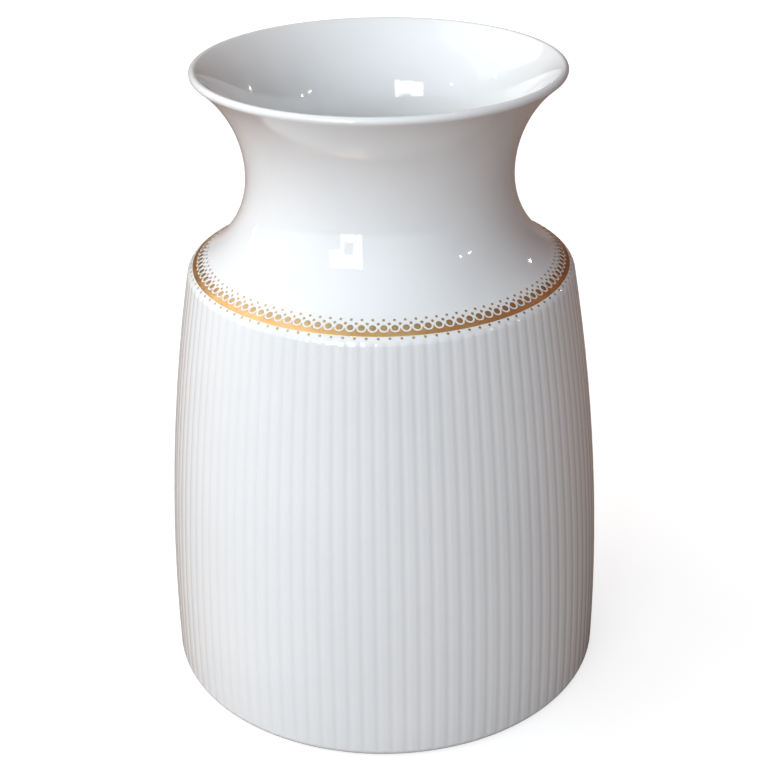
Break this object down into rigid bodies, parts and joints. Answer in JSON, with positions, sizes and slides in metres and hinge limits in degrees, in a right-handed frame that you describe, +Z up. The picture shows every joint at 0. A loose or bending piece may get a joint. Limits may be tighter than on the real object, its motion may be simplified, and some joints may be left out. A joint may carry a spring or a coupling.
{
  "type": "porcelain vase",
  "caption": "Tall porcelain vase with a finely ribbed body, smooth sloping shoulder, waisted neck and wide trumpet lip, with a gold line and dotted gold border round the shoulder.",
  "frame": {"origin": "centre of the foot, on the plane that the vase stands on", "axes": "+Z up along the turning axis from foot to lip, +X to the right, +Y to the back as seen from the front; the vase looks the same all round"},
  "size_m": [0.142, 0.142, 0.2],
  "materials": {
    "porcelain": "glossy cool white glaze, bare matt clay on the foot ring",
    "gold": "fired bright gold, satin, a thin film on the glaze"
  },
  "bodies": {
    "root": {"porcelain_body": "porcelain", "gold_line": "gold", "gold_large_dots": "gold", "gold_mid_dots": "gold", "gold_top_dots": "gold", "gold_low_dots": "gold"}
  },
  "joints": []
}
